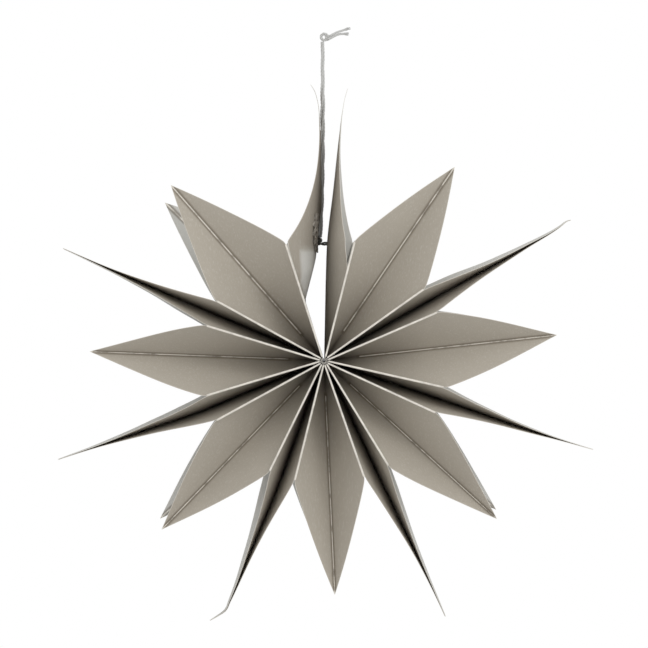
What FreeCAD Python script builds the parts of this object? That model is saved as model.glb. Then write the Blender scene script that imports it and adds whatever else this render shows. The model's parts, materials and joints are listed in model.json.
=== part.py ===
import FreeCAD, Part
import Sketcher
import math
import os

# A paper snowflake star: folded paper bags, glued side to side like the leaves of a book that opens
# right round. Millimetres, +Z up, the front is -Y, and the origin is the top of the hanging loop.
#
# Seven bags make the star. A leaf is where two neighbouring bags are glued together, and leaf 0 and
# leaf 7 are the two end panels, which a tie holds together at the top. Leaves are numbered clockwise
# from the tie, seen from the front, so bag 1 lies between leaf 0 and leaf 1.
#
# A bag's bottom lies on the star's centre axis. In a leaf's own frame X runs out from that axis, Y
# counter-clockwise and Z to the front.

BAGS = 7
SIDES = ("a", "b")
FACES = {"front": 1, "rear": -1}

SIZES = {
    "bag_length": (225, "from the centre axis to the point"),
    "bag_width": (140, "depth of the star, along the axis"),
    "shoulder_radius": (94.5, "where the cut towards the point begins"),
    "gusset_width": (48, "one half of a folded-in gusset"),
    "paper_thickness": (0.2, "one sheet"),
    "hub_radius": (5, "side panels begin this far from the axis"),
    "ridge_opening": (6, "degrees from a leaf's centre line to each ridge"),
    "seam_opening": (13.5, "the same on the two end panels"),
    "lean_start": (106, "where the points begin to lean sideways"),
    "glue_thickness": (0.1, "dried glue between two panels"),
    "glue_half_width": (3, "half the glued centre band"),
    "bottom_glue": (6, "width of the glue along a bag bottom"),
    "layer_gap": (0.15, "clearance between a gusset and its side panel"),
    "fold_gap": (0.8, "clearance at the fold between them"),
    "valley_gap": (5, "how far a gusset half stays back from its valley"),
    "gusset_start": (20, "gusset halves begin this far from the axis"),
    "hole_distance": (93, "punched holes in the end panels, from the axis"),
    "hole_radius": (2.5, "punched holes in the end panels"),
    "patch_length": (20, "paper patch round the left hole"),
    "cord_thickness": (3.6, "two strands twisted together"),
    "strand_thickness": (1.6, "one strand"),
    "loop_radius": (2.5, "centre line of the eye at the cord's top"),
    "knot_radius": (2.6, "both knots"),
    "tie_reach": (5, "how far the tie passes through each end panel"),
    "tie_spacing": (1.8, "between the tie's two runs"),
    "star_drop": (259, "from the loop's top down to the centre axis"),
    "star_shift": (-0.2, "from the loop across to the centre axis"),
}

# Each leaf's direction in degrees, counter-clockwise from +X seen from the front, how far its point
# leans counter-clockwise out of that direction, and how many degrees its rear ridges are twisted
# counter-clockwise of its front ones, because the star hangs unevenly.
LEAVES = (
    (89.3, -15.7, 0.9),
    (29.4, 0.0, 1.0),
    (-18.7, 1.0, 1.2),
    (-64.7, 0.0, 1.2),
    (-110.0, -7.0, -3.0),
    (-157.3, -8.0, -1.2),
    (-202.9, -1.0, 2.0),
    (-265.6, -6.5, 1.5),
)

# The hanging cord's route, from under the loop to the tie. It hangs almost straight, and ends over
# the tie's knot, at a place measured from the left end panel's hole.
CORD_ROUTE = ((-1.3, 0, -7.2), (-1.2, 0, -70), (-1.6, 0, -128))
CORD_END = (3.93, 0, 4.57)
TAIL_ROUTES = {
    "cord_tail_upper": ((3.6, 0, -2.9), (9.4, -0.5, 0.3), (13.8, -0.4, 1.6), (20.6, 0.4, 3.8)),
    "cord_tail_lower": ((3.6, 0, -5.0), (9.2, 0.7, -1.8), (13.6, 0.6, -0.5), (19.4, 1.2, -1.0)),
}

doc = FreeCAD.newDocument("star")
sheet = doc.addObject("Spreadsheet::Sheet", "Sizes")


def fill_sheet():
    """Writes every size and every leaf's values into the sheet, each with its own alias."""
    rows = [(name, value, note) for name, (value, note) in SIZES.items()]
    for number, (angle, lean, twist) in enumerate(LEAVES):
        rows.append((f"leaf_{number}_angle", angle, "degrees from +X"))
        rows.append((f"leaf_{number}_lean", lean, "sideways lean of its point"))
        rows.append((f"leaf_{number}_twist", twist, "degrees, rear ridges against front ones"))
    for row, (name, value, note) in enumerate(rows, start=1):
        sheet.set(f"A{row}", note)
        sheet.set(f"B{row}", str(value))
        sheet.setAlias(f"B{row}", name)
    doc.recompute()


def size(name):
    return float(sheet.get(name))


def piece(label, shape):
    """A finished shape as an object of the document."""
    made = doc.addObject("Part::Feature", label)
    made.Label = label
    made.Shape = shape
    return made


# ---- where things lie -------------------------------------------------------------------------


def star_centre():
    return FreeCAD.Vector(size("star_shift"), 0, -size("star_drop"))


def outward(angle):
    """The direction away from the axis at that angle."""
    return FreeCAD.Vector(math.cos(math.radians(angle)), 0, math.sin(math.radians(angle)))


def leaf_placement(angle):
    """Lays a shape made in a leaf's own frame into the star."""
    upright = FreeCAD.Placement(FreeCAD.Vector(), FreeCAD.Rotation(FreeCAD.Vector(1, 0, 0), 90))
    turned = FreeCAD.Placement(star_centre(), FreeCAD.Rotation(FreeCAD.Vector(0, -1, 0), angle))
    return turned * upright


def leaf_angle(number):
    return size(f"leaf_{number}_angle")


def opening(number, hand, face):
    """Degrees from a leaf's centre line to the ridge on that hand of it."""
    usual = size("seam_opening" if number in (0, BAGS) else "ridge_opening")
    return usual + (hand * size(f"leaf_{number}_twist") if face == "rear" else 0)


def panel_leaf(bag, side):
    """The leaf that a bag's side panel belongs to."""
    return bag - 1 if side == "a" else bag


def panel_hand(side):
    """+1 where the panel lies counter-clockwise of its leaf, and -1 where clockwise."""
    return -1 if side == "a" else 1


def ridge_angle(bag, side, face):
    """The direction of the fold between a side panel and its front or rear gusset."""
    number = panel_leaf(bag, side)
    hand = panel_hand(side)
    return leaf_angle(number) + hand * opening(number, hand, face)


def bag_half_angle(bag, face):
    """Half of the angle that a bag stands open at its front or rear, between its two ridges."""
    return (ridge_angle(bag, "a", face) - ridge_angle(bag, "b", face)) / 2


def gusset_fold(half_angle):
    """How far a gusset half is folded away from its side panel, in degrees, when its bag stands open
    by half_angle on each side. Its valley then lies on the bag's middle plane: the axis, the fold and
    the valley are three directions from one point, whose angles to each other the paper keeps."""
    fold_to_axis = math.atan2(size("shoulder_radius"), size("gusset_width"))
    fold_to_valley = math.pi / 2 - fold_to_axis
    spread = math.radians(half_angle)
    along = math.cos(fold_to_axis)
    across = math.sin(fold_to_axis) * math.cos(spread)
    valley_to_axis = math.atan2(across, along)
    valley_to_axis += math.acos(math.cos(fold_to_valley) / math.hypot(along, across))
    lift = math.sin(spread) * math.sin(valley_to_axis) / math.sin(fold_to_valley)
    return math.degrees(math.asin(lift))


def gusset_depth():
    """How far from the bag's middle a gusset's valley starts, at the axis."""
    return size("bag_width") / 2 - size("gusset_width")


def gusset_hinge(bag, side, face):
    """The point and the direction of a gusset half's fold. Positive turns it away from the panel."""
    hand = panel_hand(side)
    ridge = outward(ridge_angle(bag, side, face))
    forward = FreeCAD.Vector(0, -FACES[face], 0)
    away = outward(ridge_angle(bag, side, face) + hand * 90)
    stack = size("glue_thickness") / 2 + size("paper_thickness") + size("layer_gap")
    point = star_centre() + forward * gusset_depth() + away * stack
    along = ridge * size("shoulder_radius") + forward * size("gusset_width")
    along.normalize()
    across = ridge * size("gusset_width") - forward * size("shoulder_radius")
    if along.cross(across).dot(away) < 0:
        along = -along
    return point, along


# ---- side panels ------------------------------------------------------------------------------


def prism(corners, thickness):
    """A flat facet made solid sideways, along Y, so that neighbours meet face to face."""
    points = [FreeCAD.Vector(*corner) for corner in corners]
    face = Part.Face(Part.makePolygon(points + points[:1]))
    return face.extrude(FreeCAD.Vector(0, thickness, 0))


def one_solid(shapes):
    """Joins facets that share side faces into one solid."""
    return shapes[0].multiFuse(shapes[1:]).removeSplitter().Solids[0]


def lean_at(number, radius):
    """How far a leaf is pushed sideways at that distance from the axis."""
    start = size("lean_start")
    past = max(0.0, radius - start) / (size("bag_length") - start)
    return past * size(f"leaf_{number}_lean")


def cut_radius(depth):
    """Where the cut towards the point crosses that depth."""
    fall = (size("bag_length") - size("shoulder_radius")) / (size("bag_width") / 2)
    return size("bag_length") - fall * depth


def band_corners(number, base, near, far):
    """The flat centre band's corners between two distances, in a leaf's own frame."""
    half = size("glue_half_width")
    return [
        (near, base + lean_at(number, near), -half),
        (far, base + lean_at(number, far), -half),
        (far, base + lean_at(number, far), half),
        (near, base + lean_at(number, near), half),
    ]


def side_panel(bag, side):
    """One side of a bag: a flat centre band, and to the front and rear of it a facet that bends out
    to the ridge. The ridge stands away from the leaf's centre line, so two glued panels gape."""
    number = panel_leaf(bag, side)
    hand = panel_hand(side)
    base = hand * size("glue_thickness") / 2
    start = size("hub_radius")
    shoulder = size("shoulder_radius")
    edge = size("bag_width") / 2
    half = size("glue_half_width")
    kink = size("lean_start")
    tip = cut_radius(half)
    thickness = hand * size("paper_thickness")
    length = size("bag_length")
    facets = []
    for face, front in FACES.items():
        slope = math.tan(math.radians(opening(number, hand, face)))
        inner = (start, base, front * half)
        corner = (start, base + hand * start * slope, front * start * edge / shoulder)
        ridge_start = (start, base + hand * start * slope, front * edge)
        ridge_end = (shoulder, base + hand * shoulder * slope, front * edge)
        bend = (kink, base, front * half)
        band_end = (tip, base + lean_at(number, tip), front * half)
        facets.append(prism((corner, ridge_start, ridge_end), thickness))
        facets.append(prism((inner, corner, ridge_end), thickness))
        facets.append(prism((inner, ridge_end, bend), thickness))
        facets.append(prism((bend, ridge_end, band_end), thickness))
    facets.append(prism(band_corners(number, base, start, kink), thickness))
    point = (length, base + lean_at(number, length), 0)
    outer = band_corners(number, base, kink, tip)
    facets.append(prism(outer[:2] + [point] + outer[2:], thickness))
    shape = one_solid(facets)
    if number in (0, BAGS):
        shape = shape.cut(punched_hole())
    return shape.Solids[0]


def punched_hole():
    """The tool that punches an end panel, in the leaf's own frame."""
    reach = size("bag_width")
    foot = FreeCAD.Vector(size("hole_distance"), -reach / 2, 0)
    return Part.makeCylinder(size("hole_radius"), reach, foot, FreeCAD.Vector(0, 1, 0))


def glue_line(number):
    """Dried glue in one leaf: a strip along the centre line, and one along each half of the bag
    bottoms, where it fills the wedge between the two panels."""
    base = -size("glue_thickness") / 2
    thickness = size("glue_thickness")
    start = size("hub_radius") + size("bottom_glue") / 2
    kink = size("lean_start")
    end = cut_radius(size("glue_half_width")) - size("bottom_glue")
    strip = one_solid(
        [
            prism(band_corners(number, base, start, kink), thickness),
            prism(band_corners(number, base, kink, end), thickness),
        ]
    )
    near = size("hub_radius")
    far = near + size("bottom_glue")
    edge = size("bag_width") / 2
    depth = far * edge / size("shoulder_radius")
    wedges = []
    for face, front in FACES.items():
        low, high = [math.tan(math.radians(opening(number, hand, face))) for hand in (-1, 1)]
        outline = [
            (near, base - near * low, front * depth),
            (far, base - far * low, front * depth),
            (far, -base + far * high, front * depth),
            (near, -base + near * high, front * depth),
        ]
        points = [FreeCAD.Vector(*corner) for corner in outline]
        face = Part.Face(Part.makePolygon(points + points[:1]))
        wedges.append(face.extrude(FreeCAD.Vector(0, 0, front * (edge - depth))))
    return Part.makeCompound([strip] + wedges)


# ---- gusset halves ----------------------------------------------------------------------------


def outline_sketch(body, name, corners):
    """A closed outline on the body's XY plane. Each corner is two expressions, X and Y."""
    sketch = body.newObject("Sketcher::SketchObject", name)
    plane = [item for item in body.Origin.OriginFeatures if item.Role == "XY_Plane"][0]
    sketch.AttachmentSupport = [(plane, "")]
    sketch.MapMode = "FlatFace"
    count = len(corners)
    rough = [FreeCAD.Vector(start_x, start_y, 0) for _, _, start_x, start_y in corners]
    for index in range(count):
        sketch.addGeometry(Part.LineSegment(rough[index], rough[(index + 1) % count]), False)
    for index in range(count):
        sketch.addConstraint(Sketcher.Constraint("Coincident", index, 2, (index + 1) % count, 1))
    for index, (across, upward, start_x, start_y) in enumerate(corners):
        for kind, formula, start in (("DistanceX", across, start_x), ("DistanceY", upward, start_y)):
            number = sketch.addConstraint(Sketcher.Constraint(kind, -1, 1, index, 1, start))
            sketch.setExpression(f"Constraints[{number}]", formula)
    return sketch


def gusset_outline():
    """A gusset half's corners, flat: X out from the axis, Y from the bag's middle to its edge. It
    runs along the fold, down the cut, and back beside the valley."""
    valley = "(Sizes.bag_width / 2 - Sizes.gusset_width + Sizes.valley_gap)"
    ridge = "(Sizes.bag_width / 2 - Sizes.fold_gap)"
    slope = "Sizes.gusset_width / Sizes.shoulder_radius"
    cut = "(Sizes.bag_length - Sizes.shoulder_radius) / (Sizes.bag_width / 2)"
    start = size("gusset_start")
    valley_y = gusset_depth() + size("valley_gap")
    ridge_y = size("bag_width") / 2 - size("fold_gap")
    shoulder = size("shoulder_radius")
    fold_y = ridge_y - (shoulder - start) * size("gusset_width") / shoulder
    return [
        ("Sizes.gusset_start", valley, start, valley_y),
        (f"Sizes.bag_length - {cut} * {valley}", valley, cut_radius(valley_y), valley_y),
        ("Sizes.shoulder_radius", ridge, shoulder, ridge_y),
        (
            "Sizes.gusset_start",
            f"{ridge} - (Sizes.shoulder_radius - Sizes.gusset_start) * {slope}",
            start,
            fold_y,
        ),
    ]


def gusset_half(bag, side, face):
    """One half of a gusset, folded away from its side panel as far as the open bag has it."""
    label = f"bag_{bag}_{face}_gusset_{side}"
    ridge = outward(ridge_angle(bag, side, face))
    forward = FreeCAD.Vector(0, -FACES[face], 0)
    facing = ridge.cross(forward)
    away = outward(ridge_angle(bag, side, face) + panel_hand(side) * 90)
    body = doc.addObject("PartDesign::Body", label)
    body.Label = label
    sketch = outline_sketch(body, f"{label}_outline", gusset_outline())
    pad = body.newObject("PartDesign::Pad", f"{label}_pad")
    pad.Profile = sketch
    pad.Reversed = facing.dot(away) < 0
    pad.setExpression("Length", "Sizes.paper_thickness")
    sketch.Visibility = False
    point, along = gusset_hinge(bag, side, face)
    stack = size("glue_thickness") / 2 + size("paper_thickness") + size("layer_gap")
    flat = FreeCAD.Placement(star_centre() + away * stack, FreeCAD.Rotation(ridge, forward, facing, "XYZ"))
    fold = FreeCAD.Rotation(along, gusset_fold(bag_half_angle(bag, face)))
    body.Placement = FreeCAD.Placement(FreeCAD.Vector(), fold, point) * flat
    return body


# ---- cord, knots and patch --------------------------------------------------------------------


def rounded_route(points):
    """Straight runs joined by arcs that touch them, each arc as large as its two runs allow."""
    points = [FreeCAD.Vector(*point) for point in points]
    edges = []
    last = points[0]
    for before, corner, after in zip(points, points[1:], points[2:]):
        arriving = (corner - before).normalize()
        leaving = (after - corner).normalize()
        back = 0.45 * min((corner - before).Length, (after - corner).Length)
        entry = corner - arriving * back
        leave = corner + leaving * back
        half_turn = arriving.getAngle(leaving) / 2
        radius = back / math.tan(half_turn)
        inward = (leaving - arriving).normalize()
        middle = corner + inward * (radius / math.cos(half_turn) - radius)
        edges.append(Part.LineSegment(last, entry).toShape())
        edges.append(Part.Arc(entry, middle, leave).toShape())
        last = leave
    edges.append(Part.LineSegment(last, points[-1]).toShape())
    return Part.Wire(edges)


def tube(route, thickness):
    """A round cord along a path, with its volume held against its section times its length."""
    edge = route.OrderedEdges[0]
    start = edge.valueAt(edge.FirstParameter)
    along = edge.tangentAt(edge.FirstParameter)
    section = Part.Wire(Part.Circle(start, along, thickness / 2).toShape())
    shape = route.makePipeShell([section], True, False)
    expected = math.pi * thickness**2 / 4 * route.Length
    if abs(shape.Volume / expected - 1) > 0.02:
        raise RuntimeError("a cord's tube has the wrong volume")
    return shape


def end_hole(number):
    """The middle of an end panel's punched hole."""
    return star_centre() + outward(leaf_angle(number)) * size("hole_distance")


def tie_route():
    """A long narrow ring through both punched holes."""
    left = end_hole(BAGS)
    right = end_hole(0)
    half = size("tie_spacing") / 2
    height = (left.z + right.z) / 2
    start = left.x - size("tie_reach")
    end = right.x + size("tie_reach")
    corners = [
        FreeCAD.Vector(start, 0, height + half),
        FreeCAD.Vector(end, 0, height + half),
        FreeCAD.Vector(end, 0, height - half),
        FreeCAD.Vector(start, 0, height - half),
    ]
    far_end = FreeCAD.Vector(end + half, 0, height)
    near_end = FreeCAD.Vector(start - half, 0, height)
    return Part.Wire(
        [
            Part.LineSegment(corners[0], corners[1]).toShape(),
            Part.Arc(corners[1], far_end, corners[2]).toShape(),
            Part.LineSegment(corners[2], corners[3]).toShape(),
            Part.Arc(corners[3], near_end, corners[0]).toShape(),
        ]
    )


def knot(label, centre):
    """A small tight knot, a little taller than wide."""
    made = doc.addObject("Part::Ellipsoid", label)
    made.Label = label
    made.Angle1 = -90
    made.Angle2 = 90
    made.setExpression("Radius1", "Sizes.knot_radius * 1.1")
    made.setExpression("Radius2", "Sizes.knot_radius")
    made.setExpression("Radius3", "Sizes.knot_radius")
    made.Placement = FreeCAD.Placement(centre, FreeCAD.Rotation())
    return made


def hanging_loop():
    """The eye at the top of the cord. Its highest point is the origin."""
    made = doc.addObject("Part::Torus", "hanging_loop")
    made.Label = "hanging_loop"
    made.setExpression("Radius1", "Sizes.loop_radius")
    made.setExpression("Radius2", "Sizes.strand_thickness / 2")
    drop = size("loop_radius") + size("strand_thickness") / 2
    turn = FreeCAD.Rotation(FreeCAD.Vector(1, 0, 0), 90)
    made.Placement = FreeCAD.Placement(FreeCAD.Vector(0, 0, -drop), turn)
    return made


def hole_patch():
    """A strip of paper stuck over the left end panel's inner side, punched with it."""
    label = "hole_patch"
    body = doc.addObject("PartDesign::Body", label)
    body.Label = label
    near = "Sizes.hole_distance - Sizes.patch_length / 2"
    far = "Sizes.hole_distance + Sizes.patch_length / 2"
    half = size("glue_half_width")
    start = size("hole_distance") - size("patch_length") / 2
    end = size("hole_distance") + size("patch_length") / 2
    corners = [
        (near, "-Sizes.glue_half_width", start, -half),
        (far, "-Sizes.glue_half_width", end, -half),
        (far, "Sizes.glue_half_width", end, half),
        (near, "Sizes.glue_half_width", start, half),
    ]
    sketch = outline_sketch(body, "hole_patch_outline", corners)
    centre = FreeCAD.Vector(size("hole_distance"), 0, 0)
    circle = Part.Circle(centre, FreeCAD.Vector(0, 0, 1), size("hole_radius"))
    round_edge = sketch.addGeometry(circle, False)
    for kind, value, formula in (
        ("DistanceX", size("hole_distance"), "Sizes.hole_distance"),
        ("DistanceY", 0.0, None),
    ):
        number = sketch.addConstraint(Sketcher.Constraint(kind, -1, 1, round_edge, 3, value))
        if formula:
            sketch.setExpression(f"Constraints[{number}]", formula)
    number = sketch.addConstraint(Sketcher.Constraint("Radius", round_edge, size("hole_radius")))
    sketch.setExpression(f"Constraints[{number}]", "Sizes.hole_radius")
    pad = body.newObject("PartDesign::Pad", "hole_patch_pad")
    pad.Profile = sketch
    pad.Midplane = True
    pad.setExpression("Length", "Sizes.glue_thickness")
    sketch.Visibility = False
    lying = FreeCAD.Placement(FreeCAD.Vector(), FreeCAD.Rotation(FreeCAD.Vector(1, 0, 0), 90))
    body.Placement = leaf_placement(leaf_angle(BAGS)) * lying
    return body


# ---- the whole star ---------------------------------------------------------------------------


def make_star():
    """Every sub-part, each an object whose Label is its name."""
    made = []
    for bag in range(1, BAGS + 1):
        for side in SIDES:
            panel = piece(f"bag_{bag}_side_{side}", side_panel(bag, side))
            panel.Placement = leaf_placement(leaf_angle(panel_leaf(bag, side)))
            made.append(panel)
            for face in FACES:
                made.append(gusset_half(bag, side, face))
    for number in range(1, BAGS):
        glue = piece(f"glue_line_{number}", glue_line(number))
        glue.Placement = leaf_placement(leaf_angle(number))
        made.append(glue)
    loop_drop = size("loop_radius") + size("strand_thickness") / 2
    made.append(hanging_loop())
    made.append(knot("top_knot", FreeCAD.Vector(size("loop_radius") + 0.1, 0, -loop_drop - 0.4)))
    hole = end_hole(BAGS)
    cord_end = hole + FreeCAD.Vector(*CORD_END)
    cord_route = CORD_ROUTE + ((cord_end.x, cord_end.y, cord_end.z),)
    made.append(piece("hanging_cord", tube(rounded_route(cord_route), size("cord_thickness"))))
    for label, route in TAIL_ROUTES.items():
        made.append(piece(label, tube(rounded_route(route), size("strand_thickness"))))
    knot_place = FreeCAD.Vector(hole.x + size("knot_radius") + 0.1, 0, hole.z + size("knot_radius") / 2)
    made.append(knot("tie_knot", knot_place))
    made.append(piece("tie_cord", tube(tie_route(), size("strand_thickness"))))
    made.append(hole_patch())
    return made


def check(made):
    """Stops on anything that failed to build."""
    for item in doc.Objects:
        if "Invalid" in item.State or "Error" in item.State:
            raise RuntimeError(f"{item.Name} failed: {item.State}")
    for item in made:
        if item.Shape.isNull() or not item.Shape.isValid() or not item.Shape.Solids:
            raise RuntimeError(f"{item.Label} has no good shape")


fill_sheet()
parts = make_star()
doc.recompute()
check(parts)
os.makedirs("parts", exist_ok=True)
for part in parts:
    part.Shape.exportStep(f"parts/{part.Label}.step")
print(f"{len(parts)} sub-parts written")
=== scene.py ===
"""A hanging star folded from seven glued paper bags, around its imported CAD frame. Metres throughout.

The axis of the star runs along Y, and its front faces -Y. Each leaf is two side panels glued back to
back, and each bag is two side panels joined by a front and a rear gusset. A leaf's own directions
are u, outward from the axis, v, sideways and counter-clockwise seen from the front, and w, forward.
"""

import json
import math

import bpy
import numpy as np
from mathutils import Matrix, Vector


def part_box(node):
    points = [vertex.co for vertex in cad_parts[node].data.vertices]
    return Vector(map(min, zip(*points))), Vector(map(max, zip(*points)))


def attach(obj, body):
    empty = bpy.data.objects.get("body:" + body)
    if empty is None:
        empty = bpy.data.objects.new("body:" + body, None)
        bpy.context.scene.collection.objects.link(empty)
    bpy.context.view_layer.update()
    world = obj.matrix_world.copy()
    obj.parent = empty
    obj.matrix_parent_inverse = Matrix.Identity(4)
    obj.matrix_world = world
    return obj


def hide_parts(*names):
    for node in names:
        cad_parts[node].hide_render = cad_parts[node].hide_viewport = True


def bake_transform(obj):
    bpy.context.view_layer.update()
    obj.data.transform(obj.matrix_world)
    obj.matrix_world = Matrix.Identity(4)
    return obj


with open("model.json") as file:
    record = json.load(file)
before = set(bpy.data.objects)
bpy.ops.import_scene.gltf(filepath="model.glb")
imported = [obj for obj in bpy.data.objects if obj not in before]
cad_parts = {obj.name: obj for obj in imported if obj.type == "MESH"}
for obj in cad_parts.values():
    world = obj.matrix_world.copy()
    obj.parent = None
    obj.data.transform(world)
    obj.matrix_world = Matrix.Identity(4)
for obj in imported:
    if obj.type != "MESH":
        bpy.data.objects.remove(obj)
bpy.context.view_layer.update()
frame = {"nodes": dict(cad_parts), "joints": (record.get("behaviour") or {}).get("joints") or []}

# ---- sizes read from the frame -----------------------------------------------------------------

BAGS = 7
HANDS = {"a": -1, "b": 1}
FACES = {"front": 1, "rear": -1}
JOINTS = {joint["name"]: joint for joint in frame["joints"]}
CENTRE = np.array(JOINTS["fan_fold"]["pos_m"])
FORWARD = np.array([0.0, -1.0, 0.0])


def node_points(node):
    """A CAD node's vertices, measured from the star's centre."""
    return np.array([vertex.co for vertex in frame["nodes"][node].data.vertices]) - CENTRE


def from_axis(points):
    """How far points lie from the star's axis."""
    return np.hypot(points[..., 0], points[..., 2])


EDGE = float(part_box("bag_4_side_a")[1].y)
LENGTH = float(from_axis(node_points("bag_4_side_a")).max())
GUSSET = EDGE - abs(JOINTS["bag_4_front_gusset_a_fold"]["pos_m"][1])


def fold_direction(bag, side, face):
    """The fold from the gusset's point on the axis to the shoulder, as a unit vector."""
    axis = np.array(JOINTS[f"bag_{bag}_{face}_gusset_{side}_fold"]["axis"])
    return axis if (axis @ FORWARD) * FACES[face] > 0 else -axis


def shoulder_radius():
    """How far from the axis the ridges end, and the cut towards the point begins."""
    fold = fold_direction(4, "a", "front")
    return GUSSET * from_axis(fold) / abs(fold[1])


SHOULDER = float(shoulder_radius())
CUT_SLOPE = (LENGTH - SHOULDER) / EDGE


def ridge_angle(bag, side, face):
    """The direction of a ridge, in degrees from +X, counter-clockwise seen from the front."""
    fold = fold_direction(bag, side, face)
    return math.degrees(math.atan2(fold[2], fold[0]))


def leaf_of(bag, side):
    return bag - 1 if side == "a" else bag


def seam_angle(leaf):
    """The direction of a leaf's centre line, where it hasn't begun to lean. It is midway between
    the front ridges of two glued panels, and runs through the punched hole of an end panel."""
    if 0 < leaf < BAGS:
        return (ridge_angle(leaf, "b", "front") + ridge_angle(leaf + 1, "a", "front")) / 2
    points = node_points("bag_1_side_a" if leaf == 0 else f"bag_{BAGS}_side_b")
    reach = from_axis(points)
    chosen = points[(np.abs(points[:, 1]) < EDGE / 10) & (reach > LENGTH * 0.3) & (reach < LENGTH / 2)]
    middle = chosen.mean(axis=0)
    return math.degrees(math.atan2(middle[2], middle[0]))


SEAMS = [seam_angle(leaf) for leaf in range(BAGS + 1)]


def leaf_body(leaf):
    """The frame's body that a leaf is."""
    ends = {0: "right_end_leaf", BAGS: "left_end_leaf"}
    return ends.get(leaf, f"leaf_{leaf}")


def outward(angle):
    """The unit vector away from the axis at that angle in degrees."""
    turn = math.radians(angle)
    return np.array([math.cos(turn), 0.0, math.sin(turn)])


def half_turn_angle(degrees):
    """An angle brought between -180 and 180 degrees."""
    return (degrees + 180) % 360 - 180


# ---- sizes of the look -------------------------------------------------------------------------

# The paper's thickness, and how far each panel lies from its leaf's middle.
PAPER = 0.0003
PANEL_OFFSET = 0.0002

# Where the panels and the rounded ridges begin, from the axis, and a ridge's radius.
HUB = 0.0012
BEAD_START = 0.0036
RIDGE_BEAD = 0.0008

# The power by which a panel bends in from its ridge to its centre line, and how soft that bend is.
FLARES = {0: 2.5, BAGS: 4.0}
GLUED_FLARE = 2.1
FLARE_BLEND = 0.0018

# How a gusset curls: mostly within this angle of its fold, and a little everywhere.
FOLD_SOFTNESS = math.radians(2)
FOLD_SPREAD = 0.03
STRONGEST_CURL = 40.0
HALVINGS = 40

# How far from the axis the points of the two curled end leaves come.
TIP_REACHES = {0: 0.2155, BAGS: 0.2185}

# How each leaf's point curls sideways: distance from the axis and the way it goes, in millimetres.
CURLS = (
    ((93, -1.1), (135, -5.4), (177, -9.4), (199, -12.0), (209, -13.8), (216, -15.9)),
    ((110, 0.0), (180, -0.6), (215, 0.2), (222, 1.2), (225, 0.4)),
    ((110, 0.0), (170, -0.4), (210, 0.6), (225, 1.2)),
    ((110, 0.0), (180, 0.5), (225, 0.0)),
    ((106, 0.0), (160, -2.6), (205, -4.6), (213, -5.4), (219, -9.6), (225, -14.6)),
    ((104, 0.0), (150, -3.2), (225, -8.6)),
    ((110, 0.0), (170, -0.2), (225, -1.0)),
    (
        *((93, -1.4), (108, -3.4), (123, -5.2), (154, -8.9)),
        *((186, -11.2), (206, -10.9), (214, -9.0), (219, -6.2)),
    ),
)

# Nearer the axis than its first pair, a curl fades over this many millimetres to a share of its value.
CURL_LEAD = 30
CURL_LEAD_SHARE = 0.35

# How far the left end panel's centre line is drawn sideways to the cord, in millimetres.
PINCH = (
    *((93, 0.2), (111, 1.7), (121, 2.5), (132, 2.4), (143, 1.7)),
    *((153, 1.3), (164, 0.9), (186, 0.5), (219, 0.0)),
)
PINCH_WIDTH = 0.014

# The left end panel's two creases: where they leave the centre line, how much farther out they meet
# the ridges, how far from the middle that begins, and how steeply the paper is pulled in beyond them.
CREASE_START = 0.048
CREASE_RISE = 0.016
CREASE_TURN = 0.040
CREASE_PULL = 0.57
CREASE_BLEND = 0.0015

# The painted light on the left end panel beyond its front crease: its soft edges at the crease, the tape
# and the ridge.
PAINTED_LIGHT_FADE = 0.003
PAINTED_LIGHT_TAPE = (0.090, 0.084)
PAINTED_LIGHT_RIDGE = (0.0625, 0.0585)

# The share by which the right end panel's front edge has slipped, and where it does.
SLIP = 0.38
SLIP_REACHES = (0.064, 0.096)

# The unevenness of loose paper, on the side panels and on the gussets.
PANEL_WAVE = 0.0006
GUSSET_WAVE = 0.0007

# How far the rear half of each leaf is swept sideways beyond the shoulder, in millimetres.
REAR_SWEEPS = (0.0, 2.6, 0.0, 2.2, -2.6, -1.6, 1.6, 0.0)

# The shadowed tone of a glued panel: how dark it gets, how far from its cut it begins, and over how
# much of the paper it grows.
GLUED_SHADE = 0.8
GLUED_SHADE_START = 0.024
GLUED_SHADE_GROWTH = 0.036

# The left end panel's front, darkened with painted shade: how dark, how much darker near the middle, and
# between what depths.
END_SHADE = 0.24
END_SHADE_MORE = 0.12
END_SHADE_DEPTHS = (0.066, 0.020)

# A gusset's tones, measured from its point on the axis: how far out its valley is shadowed, how far
# out and how dark the hub's shadow is, and where the valley's pale line begins.
VALLEY_SHADE_REACH = 0.085
HUB_SHADE = 0.7
HUB_SHADE_REACH = 0.030
VALLEY_LINE_START = 0.026

# How far each gusset's valley lies off its bag's middle, in degrees counter-clockwise.
VALLEY_TURNS = {
    "front": (0.4, 0.9, -0.8, 0.0, -0.2, -2.1, 1.6),
    "rear": (-0.6, -0.3, -0.6, 1.0, -0.1, -2.5, 4.2),
}

# The cord's route from its eye down to the tie, and the two loose ends at the top.
CORD_ROUTE = (
    (-0.0013, 0.0, -0.0072),
    (-0.0012, 0.0, -0.070),
    (-0.0016, 0.0, -0.128),
    (-0.0034, 0.0, -0.1617),
)
TAIL_ROUTES = {
    "cord_tail_upper": (
        (0.0036, 0.0, -0.0029),
        (0.0094, -0.0005, 0.0003),
        (0.0138, -0.0004, 0.0016),
        (0.0206, 0.0004, 0.0038),
    ),
    "cord_tail_lower": (
        (0.0036, 0.0, -0.0050),
        (0.0092, 0.0007, -0.0018),
        (0.0136, 0.0006, -0.0005),
        (0.0194, 0.0012, -0.0010),
    ),
}
CORD = 0.0036
STRAND = 0.0016
FRAY_START = 0.62
FRAY_PLIES = 7

# How far the tie hangs through, how far its two runs lie apart, and how far its knot sits off.
TIE_SAG = 0.0009
TIE_SPREAD = 0.0008
TIE_KNOT_SHIFT = 0.0007

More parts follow.
